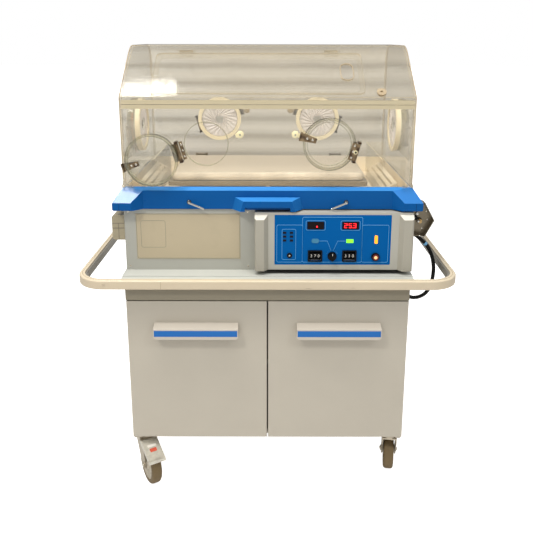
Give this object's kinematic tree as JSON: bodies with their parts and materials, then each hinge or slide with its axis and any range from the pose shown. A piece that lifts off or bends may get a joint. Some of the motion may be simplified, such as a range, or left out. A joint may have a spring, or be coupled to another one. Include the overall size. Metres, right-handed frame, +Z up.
{
  "type": "infant incubator",
  "caption": "Clear-hooded infant incubator with hand ports, blue deck and control module on a railed two-door cabinet stand with swivel casters.",
  "frame": {"origin": "on the floor under the middle of the stand", "axes": "+X to the right seen from the front, +Y to the back, +Z up"},
  "size_m": [1.142, 0.7322, 1.357],
  "materials": {
    "white_laminate": "satin laminate",
    "silver_paint": "satin",
    "grey_plastic": "fine texture",
    "cream_plastic": "satin",
    "motor_metal": "cast",
    "black_plastic": "satin",
    "steel": "brushed",
    "brass": "satin",
    "blue_plastic": "satin gloss",
    "blue_panel": "printed film",
    "chrome": "polished",
    "clear_sheet": "clear polished",
    "mattress_cover": "wiped cover",
    "sleeve_film": "thin soft film",
    "black_rubber": "matt",
    "tyre": "grey rubber",
    "dark_paint": "satin"
  },
  "bodies": {
    "stand": {"cabinet_shell": "white_laminate", "cabinet_shelf": "white_laminate", "stand_frame": "grey_plastic", "deck_plate": "silver_paint", "rail_core": "silver_paint", "rail_bumper": "cream_plastic", "base_housing": "grey_plastic", "heater": "motor_metal", "fan_motor": "motor_metal", "filter_box": "cream_plastic", "service_panel": "steel", "gas_fittings": "brass", "deck_skirt": "blue_plastic", "module_housing": "grey_plastic", "module_handles": "grey_plastic", "control_fascia": "blue_panel", "fascia_fittings": "black_plastic", "inner_deck": "cream_plastic", "end_baffles": "clear_sheet", "cable_glands": "black_rubber", "mains_cord": "black_rubber", "hood_hinges": "steel"},
    "fan": {"fan_rotor": "black_plastic"},
    "tray": {"mattress_tray": "cream_plastic", "mattress": "mattress_cover"},
    "crank_left": {"tilt_crank_left": "chrome"},
    "crank_right": {"tilt_crank_right": "chrome"},
    "hood": {"hood_shell": "clear_sheet", "hood_edge_seal": "cream_plastic", "port_rings": "cream_plastic", "iris_sleeves": "sleeve_film", "hood_fittings": "cream_plastic"},
    "lid": {"roof_flap": "clear_sheet"},
    "access_panel": {"front_panel": "clear_sheet", "panel_edge_seal": "cream_plastic", "panel_catches": "cream_plastic"},
    "mode_dial": {"mode_knob": "black_plastic"},
    "push_button": {"alarm_button": "cream_plastic"},
    "setpoint_left": {"setpoint_wheels_left": "black_plastic"},
    "setpoint_right": {"setpoint_wheels_right": "black_plastic"},
    "cupboard_left": {"door_left": "white_laminate", "handle_left": "silver_paint"},
    "cupboard_right": {"door_right": "white_laminate", "handle_right": "silver_paint"},
    "port_front_left": {"port_door_front_left": "clear_sheet"},
    "port_front_right": {"port_door_front_right": "clear_sheet"},
    "port_rear_left": {"port_door_rear_left": "clear_sheet"},
    "port_rear_right": {"port_door_rear_right": "clear_sheet"},
    "port_end_left": {"port_door_end_left": "clear_sheet"},
    "port_end_right": {"port_door_end_right": "clear_sheet"},
    "swivel_front_left": {"caster_fork_front_left": "steel"},
    "wheel_front_left": {"caster_wheel_front_left": "tyre"},
    "pedal_front_left": {"caster_pedal_front_left": "dark_paint"},
    "swivel_front_right": {"caster_fork_front_right": "steel"},
    "wheel_front_right": {"caster_wheel_front_right": "tyre"},
    "pedal_front_right": {"caster_pedal_front_right": "dark_paint"},
    "swivel_rear_left": {"caster_fork_rear_left": "steel"},
    "wheel_rear_left": {"caster_wheel_rear_left": "tyre"},
    "swivel_rear_right": {"caster_fork_rear_right": "steel"},
    "wheel_rear_right": {"caster_wheel_rear_right": "tyre"}
  },
  "joints": [
    {"name": "fan_spin", "type": "hinge", "parent": "stand", "child": "fan", "pos_m": [-0.21, 0.037, 0.775], "axis": [0, 0, 1], "continuous": true},
    {"name": "mattress_tilt", "type": "hinge", "parent": "stand", "child": "tray", "pos_m": [0, 0.0335, 0.921], "axis": [0, 1, 0], "range_deg": [0, 4]},
    {"name": "crank_left_turn", "type": "hinge", "parent": "stand", "child": "crank_left", "pos_m": [-0.234, -0.24, 0.904], "axis": [0, 1, 0], "range_deg": [-110, 0]},
    {"name": "crank_right_turn", "type": "hinge", "parent": "stand", "child": "crank_right", "pos_m": [0.234, -0.24, 0.904], "axis": [0, 1, 0], "range_deg": [0, 110]},
    {"name": "hood_tilt", "type": "hinge", "parent": "stand", "child": "hood", "pos_m": [0, 0.3055, 0.953], "axis": [-1, 0, 0], "range_deg": [0, 60]},
    {"name": "lid_lift", "type": "hinge", "parent": "hood", "child": "lid", "pos_m": [-0.0285, -0.07088, 1.33845], "axis": [-1, 0, 0], "range_deg": [0, 110]},
    {"name": "access_panel_drop", "type": "hinge", "parent": "hood", "child": "access_panel", "pos_m": [0, -0.237, 0.953], "axis": [1, 0, 0], "range_deg": [0, 90]},
    {"name": "port_front_left_swing", "type": "hinge", "parent": "access_panel", "child": "port_front_left", "pos_m": [-0.2595, -0.24, 1.0552], "axis": [0.2756, 0, -0.9613], "range_deg": [-180, 0]},
    {"name": "port_front_right_swing", "type": "hinge", "parent": "access_panel", "child": "port_front_right", "pos_m": [0.2595, -0.24, 1.0552], "axis": [0.2756, 0, 0.9613], "range_deg": [0, 150]},
    {"name": "port_rear_left_swing", "type": "hinge", "parent": "hood", "child": "port_rear_left", "pos_m": [-0.2595, 0.314, 1.06621], "axis": [-0.2756, 0, 0.9613], "range_deg": [0, 150]},
    {"name": "port_rear_right_swing", "type": "hinge", "parent": "hood", "child": "port_rear_right", "pos_m": [0.2595, 0.314, 1.06621], "axis": [-0.2756, 0, -0.9613], "range_deg": [0, 150]},
    {"name": "port_end_left_swing", "type": "hinge", "parent": "hood", "child": "port_end_left", "pos_m": [-0.445, -0.05115, 1.07472], "axis": [0, -0.2756, 0.9613], "range_deg": [0, 150]},
    {"name": "port_end_right_swing", "type": "hinge", "parent": "hood", "child": "port_end_right", "pos_m": [0.445, -0.05115, 1.07472], "axis": [0, 0.2756, -0.9613], "range_deg": [0, 150]},
    {"name": "mode_dial_turn", "type": "hinge", "parent": "stand", "child": "mode_dial", "pos_m": [0.193, -0.265, 0.7445], "axis": [0, 1, 0], "range_deg": [-60, 60]},
    {"name": "push_button_press", "type": "slide", "parent": "stand", "child": "push_button", "axis": [0, 1, 0], "range_m": [0, 0.0025], "stiffness_N_per_m": 400},
    {"name": "setpoint_left_turn", "type": "hinge", "parent": "stand", "child": "setpoint_left", "pos_m": [0.142, -0.248, 0.745], "axis": [1, 0, 0], "continuous": true},
    {"name": "setpoint_right_turn", "type": "hinge", "parent": "stand", "child": "setpoint_right", "pos_m": [0.2445, -0.248, 0.745], "axis": [1, 0, 0], "continuous": true},
    {"name": "cupboard_left_swing", "type": "hinge", "parent": "stand", "child": "cupboard_left", "pos_m": [-0.413, -0.297, 0.39], "axis": [0, 0, -1], "range_deg": [0, 110]},
    {"name": "cupboard_right_swing", "type": "hinge", "parent": "stand", "child": "cupboard_right", "pos_m": [0.413, -0.297, 0.39], "axis": [0, 0, 1], "range_deg": [0, 110]},
    {"name": "swivel_front_left_turn", "type": "hinge", "parent": "stand", "child": "swivel_front_left", "pos_m": [-0.392, -0.261, 0.15], "axis": [0, 0, 1], "continuous": true},
    {"name": "wheel_front_left_roll", "type": "hinge", "parent": "swivel_front_left", "child": "wheel_front_left", "pos_m": [-0.371, -0.29737, 0.0625], "axis": [0.866, 0.5, 0], "continuous": true},
    {"name": "pedal_front_left_press", "type": "hinge", "parent": "swivel_front_left", "child": "pedal_front_left", "pos_m": [-0.382, -0.27832, 0.138], "axis": [0.866, 0.5, 0], "range_deg": [0, 2.5]},
    {"name": "swivel_front_right_turn", "type": "hinge", "parent": "stand", "child": "swivel_front_right", "pos_m": [0.392, -0.261, 0.15], "axis": [0, 0, 1], "continuous": true},
    {"name": "wheel_front_right_roll", "type": "hinge", "parent": "swivel_front_right", "child": "wheel_front_right", "pos_m": [0.39857, -0.21952, 0.0625], "axis": [-0.9877, 0.1564, 0], "continuous": true},
    {"name": "pedal_front_right_press", "type": "hinge", "parent": "swivel_front_right", "child": "pedal_front_right", "pos_m": [0.39513, -0.24125, 0.138], "axis": [-0.9877, 0.1564, 0], "range_deg": [0, 2.5]},
    {"name": "swivel_rear_left_turn", "type": "hinge", "parent": "stand", "child": "swivel_rear_left", "pos_m": [-0.392, 0.261, 0.15], "axis": [0, 0, 1], "continuous": true},
    {"name": "wheel_rear_left_roll", "type": "hinge", "parent": "swivel_rear_left", "child": "wheel_rear_left", "pos_m": [-0.38543, 0.30248, 0.0625], "axis": [-0.9877, 0.1564, 0], "continuous": true},
    {"name": "swivel_rear_right_turn", "type": "hinge", "parent": "stand", "child": "swivel_rear_right", "pos_m": [0.392, 0.261, 0.15], "axis": [0, 0, 1], "continuous": true},
    {"name": "wheel_rear_right_roll", "type": "hinge", "parent": "swivel_rear_right", "child": "wheel_rear_right", "pos_m": [0.38543, 0.30248, 0.0625], "axis": [-0.9877, -0.1564, 0], "continuous": true}
  ],
  "couplings": [
    {"joint": "crank_left_turn", "follows": "mattress_tilt", "ratio": -27.5},
    {"joint": "crank_right_turn", "follows": "mattress_tilt", "ratio": 27.5}
  ]
}
